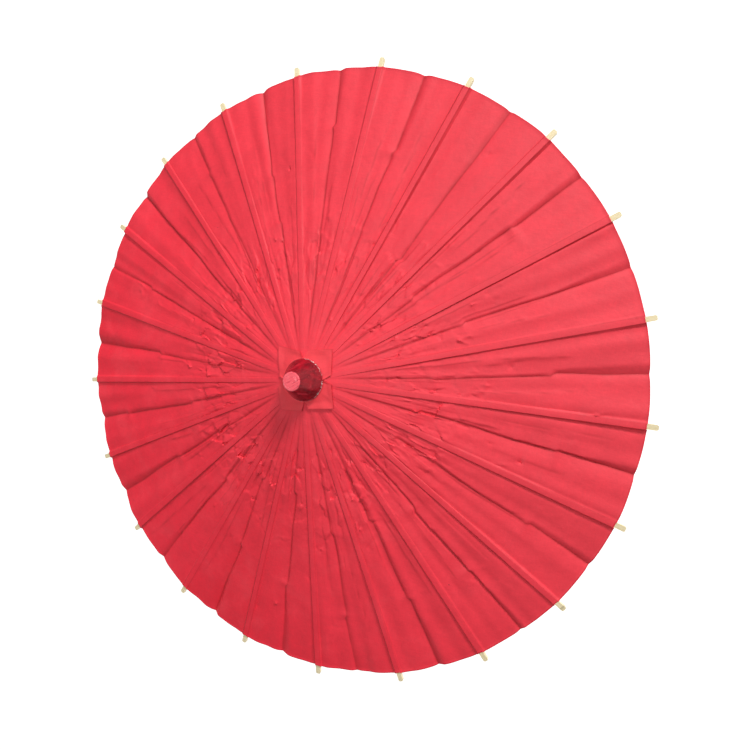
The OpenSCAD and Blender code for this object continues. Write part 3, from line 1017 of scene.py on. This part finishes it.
def thread_ring(name, radius, z, material, body, node):
    turns = round(2 * math.pi * radius / TWIST)
    steps = turns * 9
    path = [(radius * math.cos(2 * math.pi * k / steps), radius * math.sin(2 * math.pi * k / steps), z)
            for k in range(steps)]
    obj = twisted_thread(name, path, RING_THREAD, material, closed=True, twist=2 * math.pi * radius / turns)
    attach(obj, body)
    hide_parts(node)


THREAD_SAG = 4.2 * MM           # the paper pushes the thread down between the ribs
SAG_FROM = 0.28                 # share of half the gap over which it stays straight


def make_threads():
    material = thread_material()
    thread_ring("hub_binding", RING_R, HUB_Z, material, ROOT, "hub_thread")
    thread_ring("runner_binding", RING_R, RUNNER_Z, material, RUNNER, "runner_thread")
    half_gap = PIVOT_R * math.tan(HALF_PITCH)
    for i in range(COUNT):
        _, across, _ = local_frame(i)
        middle = Vector((PIVOT_R * math.cos(i * PITCH), PIVOT_R * math.sin(i * PITCH), PIVOT_Z))
        path, steps = [], 120
        for k in range(steps + 1):
            t = 2 * k / steps - 1
            sag = THREAD_SAG * float(smooth((abs(t) - SAG_FROM) / (1 - SAG_FROM)))
            path.append(middle + across * half_gap * t - Vector((0, 0, sag)))
        obj = twisted_thread(f"mid_binding_{i + 1:02d}", path, MID_THREAD, material)
        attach(obj, RIBS[i])
        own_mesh(obj)
        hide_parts("mid_thread")


def glue_bead():
    """Lacquer and glue squeezed out round the finial's foot: a thin lumpy glossy ring."""
    turns, sides = 220, 8
    points = []
    for k in range(turns):
        a = 2 * math.pi * k / turns
        c, s = math.cos(a), math.sin(a)
        lump = 0.5 + 0.5 * noise.noise(Vector((c * 9, s * 9, 0.3)))
        lump += 0.35 * noise.noise(Vector((c * 31, s * 31, 2)))
        tube = (0.38 + 0.45 * max(lump, 0)) * MM
        ring = FOOT_R - 0.05 * MM + 0.2 * MM * noise.noise(Vector((c * 14, s * 14, 5)))
        for j in range(sides):
            b = 2 * math.pi * j / sides
            points.append(((ring + tube * math.cos(b)) * c, (ring + tube * math.cos(b)) * s,
                           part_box("finial")[0].z + 0.1 * MM + tube * math.sin(b)))
    faces = grid_faces(turns, sides, closed=True)
    last = (turns - 1) * sides
    for j in range(sides):
        b = (j + 1) % sides
        faces.append((last + j, last + b, b, j))
    obj = new_object("finial_glue_bead", points, faces, sharp=80)
    n = Nodes("red_glue")
    colour = n.mix(n.noise(n.place(), 600, 2), (0.22, 0.004, 0.010), (0.60, 0.03, 0.05))
    # painted glints: small pale specks on the glossy bead
    painted_glints = n.ramp(n.noise(n.place(), 1100, 1), [(0.58, 0.0), (0.61, 1.0)])
    some = n.ramp(n.noise(n.place(), 95, 1), [(0.42, 0.0), (0.48, 1.0)])
    colour = n.mix(n.math("MULTIPLY", painted_glints, some), colour, (0.80, 0.74, 0.70))
    n.finish(colour, 0.12, Specular_IOR_Level=0.7, Coat_Weight=0.8, Coat_Roughness=0.05)
    obj.data.materials.append(n.material)
    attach(obj, ROOT)


# ---------------------------------------------------------------- materials of the CAD nodes


def dress(material, *nodes):
    for name in nodes:
        node = frame["nodes"][name]
        for slot in node.material_slots:
            slot.material = material


def dress_frame():
    dress(lacquer_material(), "finial")
    dress(bamboo_material("rib_bamboo", (0.93, 0.84, 0.58), (0.82, 0.68, 0.40)), *RIBS)
    dress(bamboo_material("stretcher_bamboo", (0.88, 0.74, 0.47), (0.74, 0.57, 0.31), joints=False),
          *STRETCHERS)
    dress(wood_material("shaft_wood", (0.78, 0.60, 0.36), (0.58, 0.40, 0.21), True), "shaft")
    dress(wood_material("handle_wood", (0.60, 0.37, 0.19), (0.36, 0.19, 0.085), True,
                        (0.26, 0.40), 0.5, coat=0.35), "handle")
    dress(wood_material("hub_wood", (0.74, 0.55, 0.33), (0.54, 0.36, 0.19), False, (0.45, 0.6), 0.8),
          "top_hub", "runner")
    dress(wood_material("pin_wood", (0.80, 0.66, 0.42), (0.62, 0.46, 0.26), False), "hub_pin", "stop_pin")
    dress(steel_material(), "catch_spring", "catch_pin")


make_camera()
make_studio()
make_canopy()
make_patch()
make_threads()
glue_bead()
dress_frame()
